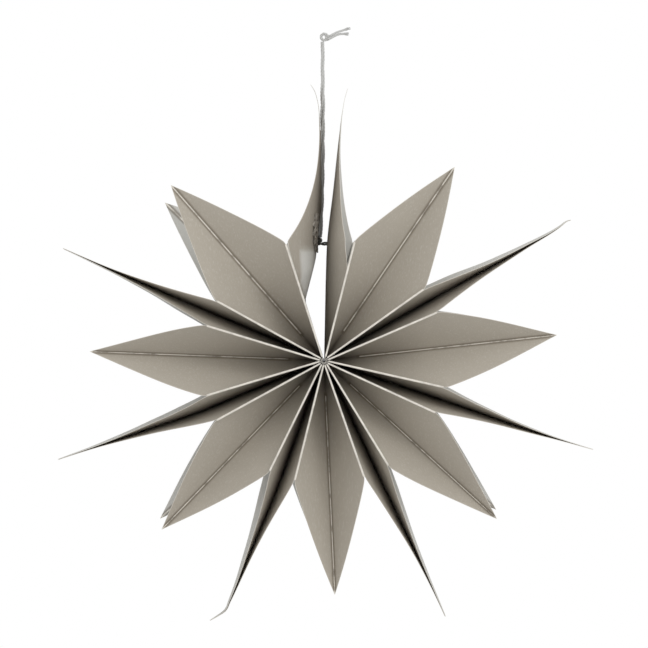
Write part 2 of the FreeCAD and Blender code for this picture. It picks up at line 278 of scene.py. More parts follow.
# The tape: where it begins and ends beside its CAD piece, how far it runs forward and how that
# wanders, and how far it is set back into the paper.
PATCH_START = 0.002
PATCH_END = 0.012
PATCH_FORWARD = 0.034
PATCH_WANDER = 0.010
PATCH_SET_BACK = 0.0009


# ---- camera ------------------------------------------------------------------------------------


def make_camera():
    """Straight on from far away, level with the middle of the hanging star."""
    data = bpy.data.cameras.new("camera")
    data.sensor_width = 36
    data.lens = 210.5
    camera = bpy.data.objects.new("camera", data)
    camera.location = (-0.0002, -3.0, -0.2305)
    camera.rotation_euler = (math.radians(90), 0, 0)
    bpy.context.scene.collection.objects.link(camera)
    bpy.context.scene.camera = camera


make_camera()


# ---- making meshes -----------------------------------------------------------------------------


def mesh_object(name, points, faces, attributes=None, smooth=True):
    """A linked object from points, faces and one float value per point for each attribute."""
    mesh = bpy.data.meshes.new(name)
    mesh.from_pydata([tuple(point) for point in points], [], faces)
    mesh.validate()
    for label, values in (attributes or {}).items():
        layer = mesh.attributes.new(label, "FLOAT", "POINT")
        layer.data.foreach_set("value", np.asarray(values, np.float32))
    if smooth:
        mesh.shade_smooth()
        mesh.set_sharp_from_angle(angle=math.radians(42))
    made = bpy.data.objects.new(name, mesh)
    bpy.context.scene.collection.objects.link(made)
    return made


def grid_normals(grid):
    """Unit normals of a grid of points, from its rows and columns."""
    along = np.gradient(grid, axis=0)
    across = np.gradient(grid, axis=1)
    normals = np.cross(along, across)
    lengths = np.linalg.norm(normals, axis=2, keepdims=True)
    return normals / np.maximum(lengths, 1e-12)


def sheet_object(name, grid, towards, values):
    """Paper of even thickness on a grid of points. Its outer face looks where `towards` points, and
    the value "inner" is 0 on that face and 1 on the other."""
    rows, columns = grid.shape[:2]
    normals = grid_normals(grid)
    flipped = np.sum(normals * towards) < 0
    if flipped:
        normals = -normals
    outer = grid + normals * PAPER / 2
    inner = grid - normals * PAPER / 2
    points = np.concatenate([outer.reshape(-1, 3), inner.reshape(-1, 3)])
    layer = rows * columns
    faces = []
    for row in range(rows - 1):
        for column in range(columns - 1):
            corner = row * columns + column
            quad = (corner, corner + columns, corner + columns + 1, corner + 1)
            face = quad[::-1] if flipped else quad
            faces.append(face)
            faces.append(tuple(index + layer for index in face[::-1]))
    border = list(range(columns))
    border += [row * columns + columns - 1 for row in range(1, rows)]
    border += [(rows - 1) * columns + column for column in range(columns - 2, -1, -1)]
    border += [row * columns for row in range(rows - 2, 0, -1)]
    for first, second in zip(border, border[1:] + border[:1]):
        rim = (first, second, second + layer, first + layer)
        faces.append(rim[::-1] if flipped else rim)
    attributes = {label: np.concatenate([v.ravel(), v.ravel()]) for label, v in values.items()}
    attributes["inner"] = np.repeat([0.0, 1.0], layer)
    return mesh_object(name, points, faces, attributes)


def frames_along(line):
    """Two directions square to a line at each of its points, carried along without twist."""
    tangents = np.gradient(line, axis=0)
    tangents /= np.linalg.norm(tangents, axis=1, keepdims=True)
    start = np.array([0.0, 1.0, 0.0])
    if abs(tangents[0] @ start) > 0.9:
        start = np.array([1.0, 0.0, 0.0])
    sides = []
    side = start
    for tangent in tangents:
        side = side - (side @ tangent) * tangent
        side /= np.linalg.norm(side)
        sides.append(side)
    sides = np.array(sides)
    return sides, np.cross(tangents, sides)


def tube_parts(line, radii, sides):
    """Points and faces of a round tube whose ends close in a blunt tip."""
    line = np.asarray(line, float)
    radii = np.broadcast_to(np.asarray(radii, float), (len(line),))
    first, second = frames_along(line)
    turns = np.arange(sides) * 2 * math.pi / sides
    ring = np.cos(turns)[None, :, None] * first[:, None, :]
    ring = ring + np.sin(turns)[None, :, None] * second[:, None, :]
    points = line[:, None, :] + ring * radii[:, None, None]
    points = list(points.reshape(-1, 3))
    faces = []
    for row in range(len(line) - 1):
        for column in range(sides):
            beside = (column + 1) % sides
            low = row * sides
            high = low + sides
            faces.append((low + column, low + beside, high + beside, high + column))
    for row, step in ((0, -1), (len(line) - 1, 1)):
        ahead = line[row] - line[row - step]
        ahead = ahead / np.linalg.norm(ahead)
        points.append(line[row] + ahead * radii[row] * 0.6)
        tip = len(points) - 1
        for column in range(sides):
            beside = (column + 1) % sides
            face = (row * sides + column, row * sides + beside, tip)
            faces.append(face if step > 0 else face[::-1])
    return points, faces


def tubes_object(name, tubes, sides=8):
    """One object from several tubes, each a line and its radii."""
    points = []
    faces = []
    for line, radii in tubes:
        more, more_faces = tube_parts(line, radii, sides)
        shift = len(points)
        points += more
        faces += [tuple(index + shift for index in face) for face in more_faces]
    return mesh_object(name, points, faces)


def smooth_step(value, low, high):
    """A share that eases from 0 at low to 1 at high."""
    share = np.clip((value - low) / (high - low), 0.0, 1.0)
    return share * share * (3 - 2 * share)


def smooth_through(pairs, places):
    """Values at places on a smooth curve through (place, value) pairs. Before the first pair it fades,
    and it is nothing at the axis."""
    xs = np.array([pair[0] for pair in pairs], float)
    ys = np.array([pair[1] for pair in pairs], float)
    xs = np.concatenate([[xs[0] - CURL_LEAD], xs])
    ys = np.concatenate([[ys[0] * CURL_LEAD_SHARE], ys])
    slopes = np.gradient(ys, xs)
    if ys[0] == 0:
        slopes[0] = 0
    spot = np.clip(places, xs[0], xs[-1])
    index = np.clip(np.searchsorted(xs, spot) - 1, 0, len(xs) - 2)
    step = xs[index + 1] - xs[index]
    t = (spot - xs[index]) / step
    value = (2 * t**3 - 3 * t**2 + 1) * ys[index] + (t**3 - 2 * t**2 + t) * step * slopes[index]
    value += (3 * t**2 - 2 * t**3) * ys[index + 1] + (t**3 - t**2) * step * slopes[index + 1]
    before = np.clip(places / xs[0], 0, 1)
    return np.where(places < xs[0], ys[0] * before, value)


def soft_minimum(first, second, blend):
    """The smaller of two values, rounded where they cross."""
    mix = np.clip(0.5 + 0.5 * (second - first) / blend, 0, 1)
    return second * (1 - mix) + first * mix - blend * mix * (1 - mix)


def route_line(points):
    """The smooth line that a route's points steer, as a NURBS spline gives it."""
    curve = bpy.data.curves.new("route", "CURVE")
    curve.dimensions = "3D"
    curve.resolution_u = 40
    spline = curve.splines.new("NURBS")
    spline.points.add(len(points) - 1)
    for control, place in zip(spline.points, points):
        control.co = (*place, 1)
    spline.order_u = 3
    spline.use_endpoint_u = True
    carrier = bpy.data.objects.new("route", curve)
    bpy.context.scene.collection.objects.link(carrier)
    mesh = bpy.data.meshes.new_from_object(carrier)
    line = np.array([vertex.co for vertex in mesh.vertices])
    bpy.data.objects.remove(carrier)
    bpy.data.curves.remove(curve)
    bpy.data.meshes.remove(mesh)
    return line


def evenly(line, step):
    """The same line with points an even step apart."""
    lengths = lengths_along(line)
    count = max(4, int(round(lengths[-1] / step)))
    places = np.linspace(0, lengths[-1], count + 1)
    return np.stack([np.interp(places, lengths, line[:, axis]) for axis in range(3)], axis=1)


def lengths_along(line):
    """How far along a line each of its points lies."""
    return np.concatenate([[0], np.cumsum(np.linalg.norm(np.diff(line, axis=0), axis=1))])


def turning(line, turn, phase):
    """Angles that go round once in each `turn` of a line's length."""
    return phase + lengths_along(line) / turn * 2 * math.pi


def wound(line, radius, angle):
    """A line that winds round another, at an angle given for each of its points."""
    first, second = frames_along(line)
    radius = np.broadcast_to(np.asarray(radius, float), (len(line),))
    offset = np.cos(angle)[:, None] * first + np.sin(angle)[:, None] * second
    return line + offset * radius[:, None]


def strand_tubes(line, thickness, turn, phase=0.0):
    """A cotton strand: three fine plies wound round its line."""
    ply = thickness * 0.27
    return [
        (wound(line, thickness * 0.25, turning(line, turn, phase + index * 2 * math.pi / 3)), ply)
        for index in range(3)
    ]


# ---- materials ---------------------------------------------------------------------------------


class Nodes:
    """Builds one material's nodes from left to right."""

    def __init__(self, name):
        self.material = bpy.data.materials.new(name)
        self.material.use_nodes = True
        self.tree = self.material.node_tree
        self.shader = self.tree.nodes["Principled BSDF"]

    def link(self, source, target):
        self.tree.links.new(source, target)

    def node(self, kind, **settings):
        made = self.tree.nodes.new(kind)
        for label, value in settings.items():
            setattr(made, label, value)
        return made

    def attribute(self, name):
        return self.node("ShaderNodeAttribute", attribute_name=name).outputs["Fac"]

    def place(self, stretch=(1, 1, 1)):
        """The object's own coordinates, stretched."""
        mapping = self.node("ShaderNodeMapping")
        mapping.inputs["Scale"].default_value = stretch
        self.link(self.node("ShaderNodeTexCoord").outputs["Object"], mapping.inputs["Vector"])
        return mapping.outputs["Vector"]

    def noise(self, scale, detail=3.0, roughness=0.55, stretch=(1, 1, 1)):
        made = self.node("ShaderNodeTexNoise")
        made.inputs["Scale"].default_value = scale
        made.inputs["Detail"].default_value = detail
        made.inputs["Roughness"].default_value = roughness
        self.link(self.place(stretch), made.inputs["Vector"])
        return made.outputs["Fac"]

    def ramp(self, value, low, high, start=0.0, end=1.0):
        """The value eased from low..high to start..end, held outside it."""
        made = self.node("ShaderNodeMapRange", interpolation_type="SMOOTHSTEP")
        for label, number in (("From Min", low), ("From Max", high), ("To Min", start), ("To Max", end)):
            made.inputs[label].default_value = number
        self.link(value, made.inputs["Value"])
        return made.outputs["Result"]

    def maths(self, operation, first, second):
        made = self.node("ShaderNodeMath", operation=operation)
        self.link(first, made.inputs[0])
        self.link(second, made.inputs[1])
        return made.outputs[0]

    def mix(self, factor, first, second):
        """Two colours mixed by a factor. A colour is a tuple or another node's output."""
        made = self.node("ShaderNodeMix", data_type="RGBA")
        for label, value in (("Factor", factor), ("A", first), ("B", second)):
            socket = [item for item in made.inputs if item.name == label and item.enabled][0]
            if isinstance(value, tuple):
                socket.default_value = (*value, 1)
            else:
                self.link(value, socket)
        return [item for item in made.outputs if item.enabled][0]

    def bump(self, height, distance, strength, under=None):
        made = self.node("ShaderNodeBump")
        made.inputs["Distance"].default_value = distance
        made.inputs["Strength"].default_value = strength
        self.link(height, made.inputs["Height"])
        if under is not None:
            self.link(under, made.inputs["Normal"])
        return made.outputs["Normal"]


def from_srgb(red, green, blue):
    """A colour given as on a screen, 0 to 255, as the shader's own numbers."""
    values = []
    for channel in (red, green, blue):
        part = channel / 255
        values.append(part / 12.92 if part <= 0.04045 else ((part + 0.055) / 1.055) ** 2.4)
    return tuple(values)


PAPER_WARM = from_srgb(172, 165, 153)
PAPER_COOL = from_srgb(196, 195, 190)
PAPER_EDGE = from_srgb(222, 217, 207)
PAINTED_SHADE_COLOUR = from_srgb(92, 84, 74)
CREASE_SHADE_COLOUR = from_srgb(104, 94, 80)


def paper_material(name, warm, cool):
    """Uncoated bag paper: soft mottle, fine fibres, pale rubbed folds and cut edges, and a cool grey inner
    face. It carries painted shade deep in the glued gaps, in the gussets' valleys and near the hub, and
    painted light on a corner of the left end panel. It reads the values that the sheets carry, all in
    metres."""
    nodes = Nodes(name)
    cloudy = nodes.noise(14, 4)
    fibres = nodes.noise(900, 2, 0.7, (1, 1, 0.25))
    specks = nodes.noise(2600, 1)
    # Cool grey on every inner face, and painted light on the left end panel's corner beyond its front
    # crease.
    inner_face_or_painted_light = nodes.maths("MAXIMUM", nodes.attribute("inner"), nodes.attribute("painted_light"))
    base = nodes.mix(inner_face_or_painted_light, warm, cool)
    base = nodes.mix(nodes.ramp(cloudy, 0.3, 0.7, 0.0, 0.16), base, tuple(c * 0.78 for c in warm))
    base = nodes.mix(nodes.ramp(fibres, 0.5, 0.75, 0.0, 0.22), base, tuple(min(1, c * 1.25) for c in cool))
    base = nodes.mix(nodes.ramp(specks, 0.68, 0.74, 0.0, 0.35), base, tuple(c * 0.55 for c in warm))
    # Painted shade, as deep as the value shade asks: in the glued gaps, the gussets' valleys, near the hub
    # and on the left end panel's front.
    base = nodes.mix(nodes.attribute("shade"), base, PAINTED_SHADE_COLOUR)
    crease = nodes.attribute("crease")
    # Painted shade in a band along each gusset valley's crease.
    base = nodes.mix(nodes.ramp(crease, 0.0009, 0.0034, 0.75, 0.0), base, CREASE_SHADE_COLOUR)
    worn = nodes.ramp(nodes.noise(120, 3), 0.34, 0.54, 0.3, 1.0)
    line = nodes.maths("MULTIPLY", nodes.ramp(crease, 0.0004, 0.0010, 0.9, 0.0), worn)
    base = nodes.mix(line, base, PAPER_EDGE)
    edge = nodes.attribute("edge")
    base = nodes.mix(nodes.ramp(edge, 0.0002, 0.0005, 0.55, 0.0), base, PAPER_EDGE)
    nodes.link(base, nodes.shader.inputs["Base Color"])
    rough = nodes.ramp(fibres, 0.2, 0.8, 0.78, 0.95)
    nodes.link(rough, nodes.shader.inputs["Roughness"])
    nodes.shader.inputs["Specular IOR Level"].default_value = 0.25
    wrinkles = nodes.bump(nodes.noise(45, 3), 0.0012, 0.35)
    nodes.link(nodes.bump(fibres, 0.00008, 0.6, wrinkles), nodes.shader.inputs["Normal"])
    return nodes.material


def fold_material():
    """The rounded outside of a fold, paler than the paper round it: partly rubbed wear, partly a painted
    highlight where the fold catches the light.
    """
    nodes = Nodes("paper_fold")
    worn = nodes.noise(160, 3)
    base = nodes.mix(nodes.ramp(worn, 0.35, 0.7), PAPER_EDGE, tuple(c * 0.8 for c in PAPER_EDGE))
    nodes.link(base, nodes.shader.inputs["Base Color"])
    nodes.shader.inputs["Specular IOR Level"].default_value = 0.25
    nodes.link(nodes.ramp(worn, 0.2, 0.8, 0.75, 0.9), nodes.shader.inputs["Roughness"])
    nodes.link(nodes.bump(nodes.noise(1400, 2), 0.00008, 0.6), nodes.shader.inputs["Normal"])
    return nodes.material


def cord_material(name, colour):
    """Soft cotton fibres with darker hollows between the plies."""
    nodes = Nodes(name)
    fuzz = nodes.noise(2400, 3, 0.7)
    dirt = nodes.noise(90, 3)
    base = nodes.mix(nodes.ramp(fuzz, 0.35, 0.7), tuple(c * 0.8 for c in colour), colour)
    base = nodes.mix(nodes.ramp(dirt, 0.45, 0.75, 0.0, 0.3), base, tuple(c * 0.7 for c in colour))
    nodes.link(base, nodes.shader.inputs["Base Color"])
    nodes.link(nodes.ramp(fuzz, 0.2, 0.8, 0.8, 1.0), nodes.shader.inputs["Roughness"])
    nodes.shader.inputs["Sheen Weight"].default_value = 0.25
    nodes.shader.inputs["Sheen Roughness"].default_value = 0.6
    nodes.link(nodes.bump(fuzz, 0.0002, 0.7), nodes.shader.inputs["Normal"])
    return nodes.material


def patch_material():
    """Crinkled, half-clear tape stuck on the paper."""
    nodes = Nodes("hole_patch")
    crinkle = nodes.noise(420, 4, 0.65, (1, 1, 0.3))
    base = nodes.mix(nodes.ramp(crinkle, 0.38, 0.62), from_srgb(98, 92, 84), from_srgb(190, 184, 174))
    nodes.link(base, nodes.shader.inputs["Base Color"])
    nodes.link(nodes.ramp(crinkle, 0.3, 0.7, 0.25, 0.55), nodes.shader.inputs["Roughness"])
    nodes.link(nodes.bump(crinkle, 0.0005, 0.8), nodes.shader.inputs["Normal"])
    return nodes.material


def glue_material():
    """Dried white glue, a little glossy and uneven."""
    nodes = Nodes("dried_glue")
    lumps = nodes.noise(500, 3)
    base = nodes.mix(nodes.ramp(lumps, 0.35, 0.7), from_srgb(196, 188, 172), from_srgb(228, 224, 214))
    nodes.link(base, nodes.shader.inputs["Base Color"])
    nodes.link(nodes.ramp(lumps, 0.3, 0.7, 0.3, 0.6), nodes.shader.inputs["Roughness"])
    nodes.link(nodes.bump(lumps, 0.0003, 0.6), nodes.shader.inputs["Normal"])
    return nodes.material


PAPER_LOOK = paper_material("bag_paper", PAPER_WARM, PAPER_COOL)
FOLD_LOOK = fold_material()
CORD_LOOK = cord_material("cotton_cord", from_srgb(198, 198, 195))
# The tie is the same cotton as the cord, darkened with painted shade.
TIE_LOOK = cord_material("painted_shade_tie", from_srgb(96, 95, 88))
PATCH_LOOK = patch_material()
GLUE_LOOK = glue_material()


def finish_piece(made, material, slot, body, *replaced):
    """A piece's material, body and the CAD nodes it stands for; its slot is not used."""
    made.data.materials.append(material)
    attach(made, body)
    if replaced:
        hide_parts(*replaced)
    return made


# ---- side panels -------------------------------------------------------------------------------


def curl_at(leaf, reach):
    """How far a leaf is bent sideways at distances from the axis."""
    return smooth_through(CURLS[leaf], np.asarray(reach) * 1000) / 1000


def half_width(reach):
    """Half of a side panel's width at distances from the axis, down to its point."""
    return np.minimum(EDGE, np.maximum(0.0, (LENGTH - reach) / CUT_SLOPE))


def ridge_slope(bag, side, face):
    """Sideways run of a ridge for each metre along its leaf's centre line."""
    leaf = leaf_of(bag, side)
    return math.tan(math.radians(half_turn_angle(ridge_angle(bag, side, face) - SEAMS[leaf])))


def flare(reach, depth, slope, leaf):
    """How far a side panel stands from its leaf's middle, before the leaf's curl: flat from the
    ridge near the hub, and bending in to the glued centre line."""
    rise = np.abs(depth) / EDGE
    bent = SHOULDER * abs(slope) * rise ** FLARES.get(leaf, GLUED_FLARE)
    flat = reach * abs(slope)
    return np.sign(slope) * np.maximum(0.0, soft_minimum(bent, flat, FLARE_BLEND * rise))


def crease_reach(depth):
    """How far from the axis the left end panel is creased, at depths from its middle."""
    return CREASE_START + CREASE_RISE * smooth_step(depth, CREASE_TURN, EDGE)


def pulled_flare(reach, depth, slope, leaf):
    """The left end panel: flat near the hub, and pulled in to the tie along two creases that run
    from its hole out to its ridges."""
    regular = flare(reach, depth, slope, leaf)
    flat = reach * slope
    pull = CREASE_PULL * np.maximum(0.0, reach - crease_reach(np.abs(depth)))
    return flat - soft_minimum(flat - regular, pull, CREASE_BLEND)


def panel_rows():
    """Distances from the axis of a side panel's rows of points, closer together at its point."""
    near = np.linspace(HUB, SHOULDER, 30)
    far = SHOULDER + (LENGTH - SHOULDER) * np.linspace(0, 1, 44)[1:] ** 0.97
    far[-1] = LENGTH - 0.0004
    return np.concatenate([near, far])


def waviness(reach, depth, seed):
    """Slight unevenness of loose paper, growing towards the point and the cut."""
    loose = np.clip((reach - SHOULDER * 0.8) / (LENGTH - SHOULDER), 0, 1)
    wave = np.sin(reach * 61 + seed * 2.3) * 0.6 + np.sin(reach * 143 + depth * 70 + seed * 5.1) * 0.3
    return PANEL_WAVE * loose * wave * np.abs(depth) / EDGE


def rear_sweep(leaf, reach, depth):
    """The sideways sweep of a leaf's rear half beyond its shoulder."""
    backward = np.clip(-depth / EDGE, 0, 1) ** 0.6
    return REAR_SWEEPS[leaf] / 1000 * smooth_step(reach, SHOULDER * 0.95, SHOULDER * 1.35) * backward


def slipped_corner(reach, depth):
    """The right end panel's front edge has slipped off its ridge near the shoulder."""
    return 1 - SLIP * smooth_step(reach, *SLIP_REACHES) * (depth > 0)


def painted_light_corner(reach, depth):
    """The left end panel's painted light: a paler corner from its front crease out to the tape."""
    crease = crease_reach(depth)
    between = smooth_step(reach, crease, crease + PAINTED_LIGHT_FADE) * smooth_step(reach, *PAINTED_LIGHT_TAPE)
    return between * smooth_step(depth, *PAINTED_LIGHT_RIDGE) * (depth > 0)


def pinch(reach, depth):
    """The left end panel's centre line drawn against the cord beyond the tie."""
    return -smooth_through(PINCH, reach * 1000) / 1000 * np.exp(-((depth / PINCH_WIDTH) ** 2))


def panel_stand(bag, side, reach, depth):
    """How far a side panel stands from its leaf's middle, before the leaf's curl."""
    leaf = leaf_of(bag, side)
    shaped = pulled_flare if leaf == BAGS else flare
    stand = np.zeros_like(reach)
    for face, front in FACES.items():
        slope = ridge_slope(bag, side, face)
        stand = np.where(depth * front >= 0, shaped(reach, depth, slope, leaf), stand)
    if leaf == 0:
        stand = stand * slipped_corner(reach, depth)
    if leaf == BAGS:
        stand = stand + pinch(reach, depth)
    return stand + rear_sweep(leaf, reach, depth)


def panel_tones(leaf, reach, depth, to_cut):
    """How much painted shade and painted light a side panel's paper carries: the glued panels darken away
    from their cut, and the left end panel is darker in front except in a corner beyond its front crease,
    which is painted paler."""
    shade = np.zeros_like(reach)
    painted_light = np.zeros_like(reach)
    if 0 < leaf < BAGS:
        shade = np.clip((to_cut - GLUED_SHADE_START) / GLUED_SHADE_GROWTH, 0, 1) ** 1.5 * GLUED_SHADE
    if leaf == BAGS:
        painted_light = painted_light_corner(reach, depth)
        shade = (END_SHADE + END_SHADE_MORE * smooth_step(depth, *END_SHADE_DEPTHS)) * (depth > 0)
        shade = shade * (1 - painted_light)
    return shade, painted_light


def side_panel(bag, side):
    """One side of a bag. Its outer face is glued to the next bag, except on the two end leaves."""
    leaf = leaf_of(bag, side)
    hand = HANDS[side]
    seam = SEAMS[leaf]
    along = outward(seam)
    sideways = outward(seam + 90)
    rows = panel_rows()
    share = np.linspace(-1, 1, 49)
    share = np.sign(share) * np.abs(share) ** 0.9
    reach = np.repeat(rows[:, None], len(share), axis=1)
    depth = half_width(reach) * share[None, :]
    to_cut = (half_width(reach) - np.abs(depth)) * np.where(reach > SHOULDER, 0.88, 1.0)
    stand = panel_stand(bag, side, reach, depth)
    tip = TIP_REACHES.get(leaf, LENGTH)
    beyond = (reach - SHOULDER) * (tip - SHOULDER) / (LENGTH - SHOULDER)
    reach = np.where(reach > SHOULDER, SHOULDER + beyond, reach)
    shift = hand * PANEL_OFFSET + stand + curl_at(leaf, reach) + waviness(reach, depth, bag)
    grid = CENTRE + reach[..., None] * along + shift[..., None] * sideways + depth[..., None] * FORWARD
    shade, painted_light = panel_tones(leaf, reach, depth, to_cut)
    values = {"edge": to_cut, "crease": np.full_like(reach, 1.0), "shade": shade, "painted_light": painted_light}
    made = sheet_object(f"panel_{bag}_{side}", grid, -hand * sideways, values)
    return finish_piece(made, PAPER_LOOK, "paper", leaf_body(leaf), f"bag_{bag}_side_{side}")


# ---- gussets -----------------------------------------------------------------------------------


def fold_to_valley():
    """The flat angle between a gusset's fold and its valley."""
    return math.atan2(GUSSET, SHOULDER)


def bent_directions(start, tangent, normal, flat_angles, middle):
    """Directions on a cone of paper whose flat angles are kept, curled more near its fold, so that
    the last one lies in the plane that `middle` is square to."""

    def trace(strength):
        place, ahead, aside = start.copy(), tangent.copy(), normal.copy()
        found = [place.copy()]
        for low, high in zip(flat_angles, flat_angles[1:]):
            steps = 6
            step = (high - low) / steps
            for part in range(steps):
                angle = low + (part + 0.5) * step
                bend = strength * (math.exp(-((angle / FOLD_SOFTNESS) ** 2)) + FOLD_SPREAD)
                place = place + ahead * step
                place /= np.linalg.norm(place)
                ahead = ahead + aside * bend * step
                ahead -= (ahead @ place) * place
                ahead /= np.linalg.norm(ahead)
                aside = np.cross(place, ahead)
                if aside @ normal < 0:
                    aside = -aside
            found.append(place.copy())
        return np.array(found)

    low = 0.0
    high = STRONGEST_CURL
    for _ in range(HALVINGS):
        guess = (low + high) / 2
        if trace(guess)[-1] @ middle * np.sign(start @ middle) > 0:
            low = guess
        else:
            high = guess
    return trace((low + high) / 2)


def fold_frame(bag, side, face):
    """Where a gusset half starts: along its fold, ahead in the ridge's plane, and into the bag."""
    ridge = outward(ridge_angle(bag, side, face))
    ahead = ridge * GUSSET - FORWARD * FACES[face] * SHOULDER
    inward = outward(ridge_angle(bag, side, face) + HANDS[side] * 90)
    return fold_direction(bag, side, face), ahead / np.linalg.norm(ahead), inward


def cone_directions(bag, side, face, angles):
    """A gusset half's directions from its point on the axis, from its fold to its valley."""
    own = ridge_angle(bag, side, face)
    other = ridge_angle(bag, "b" if side == "a" else "a", face)
    middle_angle = own + half_turn_angle(other - own) / 2 + VALLEY_TURNS[face][bag - 1]
    return bent_directions(*fold_frame(bag, side, face), angles, outward(middle_angle + 90))


def gusset_directions(bag, side, face, strip_angles, cone_angles):
    """A gusset half's directions from its point on the axis: a strip flat against its side panel,
    then a cone from the fold down to the valley that it shares with the other half."""
    fold, ahead, _ = fold_frame(bag, side, face)
    strip = np.cos(strip_angles)[:, None] * fold + np.sin(strip_angles)[:, None] * ahead
    cones = {name: cone_directions(bag, name, face, cone_angles) for name in HANDS}
    shared = (cones["a"][-1] + cones["b"][-1]) / 2
    cone = cones[side]
    cone = cone + (cone_angles / cone_angles[-1])[:, None] ** 2 * (shared - cone[-1])
    cone /= np.linalg.norm(cone, axis=1, keepdims=True)
    return np.concatenate([strip, cone])


def gusset_tones(reach, limit, lift, to_valley):
    """What a gusset half's paper reads: how far the cut is, how far the valley's crease is, and how
    shadowed it is in its valley and near the hub."""
    crease = reach * np.sin(np.clip(lift, 0, math.pi / 2))[:, None]
    crease = crease + np.clip(VALLEY_LINE_START - reach, 0, 1)
    shade = np.clip(1 - reach / VALLEY_SHADE_REACH, 0, 1) ** 1.2 * to_valley[:, None] ** 2
    shade = shade + np.clip(1 - reach / HUB_SHADE_REACH, 0, 1) * HUB_SHADE
    return {"edge": (limit[:, None] - reach) * 0.75, "crease": crease, "shade": np.clip(shade, 0, 1)}


def gusset_half(bag, side, face):
    """Half of a gusset: a strip flat against its side panel, then over the fold and down to the
    valley in the bag's middle."""
    forward = FORWARD * FACES[face]
    fold, ahead, inward = fold_frame(bag, side, face)
    depth = EDGE - GUSSET
    apex = CENTRE + forward * depth
    valley = fold_to_valley()
    strip_angles = np.radians(np.linspace(-58, -3, 9))
    cone_angles = valley * np.linspace(0, 1, 27) ** 1.25
    angles = np.concatenate([strip_angles, cone_angles])
    directions = gusset_directions(bag, side, face, strip_angles, cone_angles)
    to_valley = np.clip(angles / valley, 0, 1)
    lift = valley - angles
    to_ridge = GUSSET / np.sin(lift.clip(0.05))
    to_cut = (LENGTH - CUT_SLOPE * depth) / (np.cos(lift) + CUT_SLOPE * np.sin(lift))
    limit = np.minimum(to_ridge, to_cut)
    share = np.concatenate([np.linspace(0.02, 0.9, 26), np.linspace(0.92, 1, 5)])
    reach = limit[:, None] * share[None, :]
    clear = (PANEL_OFFSET + PAPER * 1.2) * (1 - to_valley**0.7)
    wave = GUSSET_WAVE * np.sin(reach * 52 + bag * 1.9) * np.sin(np.pi * to_valley)[:, None]
    wave = wave * np.clip(reach / LENGTH, 0, 1)
    grid = apex + reach[..., None] * directions[:, None, :]
    grid = grid + (clear[:, None] + wave)[..., None] * inward
    values = gusset_tones(reach, limit, lift, to_valley)
    made = sheet_object(f"gusset_{bag}_{face}_{side}", grid, forward, values)
    made.data.materials.append(PAPER_LOOK)
    node = f"bag_{bag}_{face}_gusset_{side}"
    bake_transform(made)
    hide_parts(node)


def ridge_bead(bag, side):
    """The rounded outsides of a side panel's two ridges, thinner towards the hub."""
    leaf = leaf_of(bag, side)
    tubes = []
    for face, front in FACES.items():
        ridge = outward(ridge_angle(bag, side, face))
        reach = np.linspace(BEAD_START, SHOULDER, 40)
        inward = outward(ridge_angle(bag, side, face) + HANDS[side] * 90)
        line = CENTRE + reach[:, None] * ridge + FORWARD * front * (EDGE - RIDGE_BEAD * 0.6)
        line = line + inward * (PANEL_OFFSET + RIDGE_BEAD * 0.3)
        radii = RIDGE_BEAD * (0.75 + 0.25 * np.clip(reach / 0.03, 0, 1))
        tubes.append((line, radii))
    made = tubes_object(f"ridge_{bag}_{side}", tubes)
    return finish_piece(made, FOLD_LOOK, "paper", leaf_body(leaf))


# ---- glue --------------------------------------------------------------------------------------


def glue_seam(leaf):
    """Dried glue between a leaf's two panels: an uneven strip along the centre line, and a bead
    along each bag bottom near the hub."""
    seam = SEAMS[leaf]
    along = outward(seam)
    sideways = outward(seam + 90)
    tubes = []
    reach = np.linspace(0.010, LENGTH * 0.93, 60)
    for track in (-1.6, 0.0, 1.6):
        wander = np.sin(reach * 210 + leaf + track) * 0.0005
        line = CENTRE + reach[:, None] * along + curl_at(leaf, reach)[:, None] * sideways
        line = line + (track / 1000 + wander)[:, None] * FORWARD
        tubes.append((line, 0.00018))
    depth = np.linspace(-EDGE * 0.9, EDGE * 0.9, 60)
    close = 0.0075 + np.sin(depth * 170 + leaf * 2) * 0.0006
    line = CENTRE + close[:, None] * along + depth[:, None] * FORWARD
    tubes.append((line, 0.0005))
    made = tubes_object(f"glue_{leaf}", tubes, 6)
    return finish_piece(made, GLUE_LOOK, "glue", leaf_body(leaf), f"glue_line_{leaf}")


# ---- cord, knots, tie and patch ----------------------------------------------------------------


def box_halves(node):
    """The middle of a CAD node's box, and half of its size."""
    low, high = (np.array(corner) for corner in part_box(node))
    return (low + high) / 2, (high - low) / 2


def knot_tubes(node, thickness):
    """A tight knot that fills a CAD knot's place: one strand tied round itself."""
    middle, half = box_halves(node)
    half = half - thickness / 2
    turn = np.linspace(0, 2 * math.pi, 121)[:-1]
    ring = 2 + np.cos(3 * turn)
    shape = np.stack([ring * np.cos(2 * turn) / 3, np.sin(3 * turn), ring * np.sin(2 * turn) / 3], axis=1)
    return strand_tubes(middle + shape * half, thickness, 0.005)


def hanging_cord():
    """Three cotton strands laid round each other, from the eye down to the tie, drawn together
    just under the eye."""
    line = evenly(route_line(CORD_ROUTE), 0.0007)
    down = lengths_along(line)
    spread = CORD * (0.21 + 0.09 * smooth_step(down, 0.020, 0.050))
    tubes = []
    for index in range(3):
        around = wound(line, spread, turning(line, 0.058, 0.4 + index * 2 * math.pi / 3))
        tubes += strand_tubes(around, CORD * 0.5, 0.009, index)
    made = tubes_object("cord", tubes, 6)
    return finish_piece(made, CORD_LOOK, "cord", "left_end_leaf", "hanging_cord"), line


